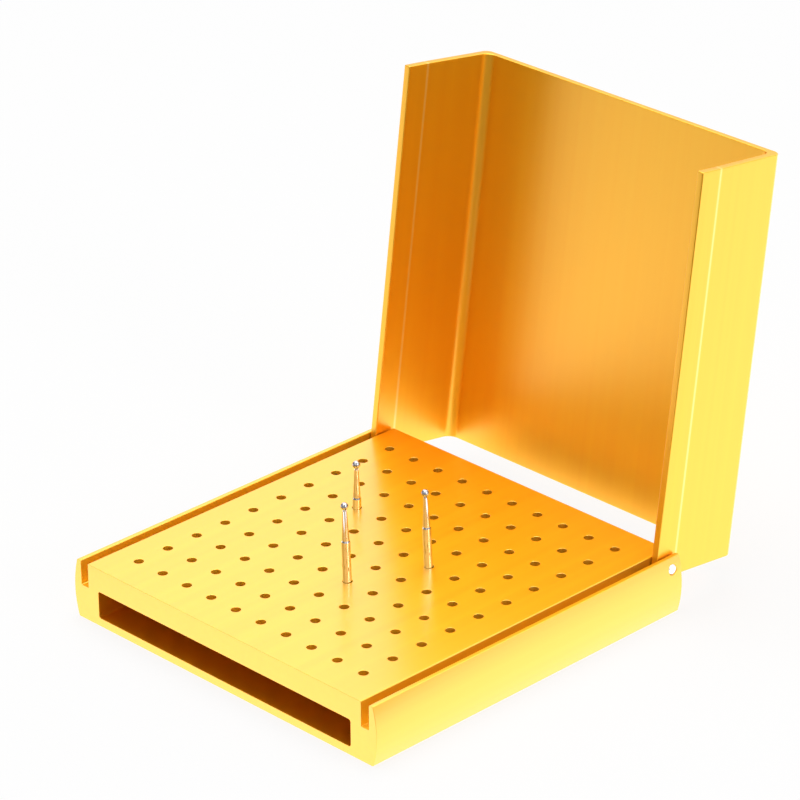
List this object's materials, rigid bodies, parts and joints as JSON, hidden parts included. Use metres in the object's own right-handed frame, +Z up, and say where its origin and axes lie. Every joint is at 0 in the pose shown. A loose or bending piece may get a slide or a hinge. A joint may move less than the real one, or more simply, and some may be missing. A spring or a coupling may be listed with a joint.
{
  "type": "bur holder box",
  "caption": "Gold anodised box with a drilled plate for rotary burs, a hinged lid standing open and round burs in place.",
  "frame": {"origin": "centre of the base's bottom face", "axes": "+X to the user's right along the front, +Y from the front to the hinge, +Z up; the lid stands open"},
  "size_m": [0.0774, 0.1037, 0.0836],
  "materials": {
    "gold_anodised": "satin gold anodising over extrusion lines",
    "pin_steel": "bright turned end",
    "shank_steel": "polished, with fine turning lines",
    "carbide": "ground, bright edges"
  },
  "bodies": {
    "box_base": {"base": "gold_anodised", "hinge_pin_left": "pin_steel", "hinge_pin_right": "pin_steel"},
    "lid": {"lid": "gold_anodised"},
    "front_bur": {"front_bur_shank": "shank_steel", "front_bur_head": "carbide"},
    "right_bur": {"right_bur_shank": "shank_steel", "right_bur_head": "carbide"},
    "back_bur": {"back_bur_shank": "shank_steel", "back_bur_head": "carbide"}
  },
  "joints": [
    {"name": "lid_hinge", "type": "hinge", "parent": "box_base", "child": "lid", "pos_m": [0, 0.0362, 0.0094], "axis": [1, 0, 0], "range_deg": [0, 97.73]},
    {"name": "front_bur_spin", "type": "hinge", "parent": "box_base", "child": "front_bur", "pos_m": [0.00306, -0.01033, 0.00169], "axis": [-0.0341, 0.0042, 0.9994], "continuous": true},
    {"name": "right_bur_spin", "type": "hinge", "parent": "box_base", "child": "right_bur", "pos_m": [0.00938, 0.00388, 0.00169], "axis": [-0.0243, -0.0243, 0.9994], "continuous": true},
    {"name": "back_bur_spin", "type": "hinge", "parent": "box_base", "child": "back_bur", "pos_m": [-0.01658, 0.01089, 0.00169], "axis": [0.0243, -0.0243, 0.9994], "continuous": true}
  ]
}
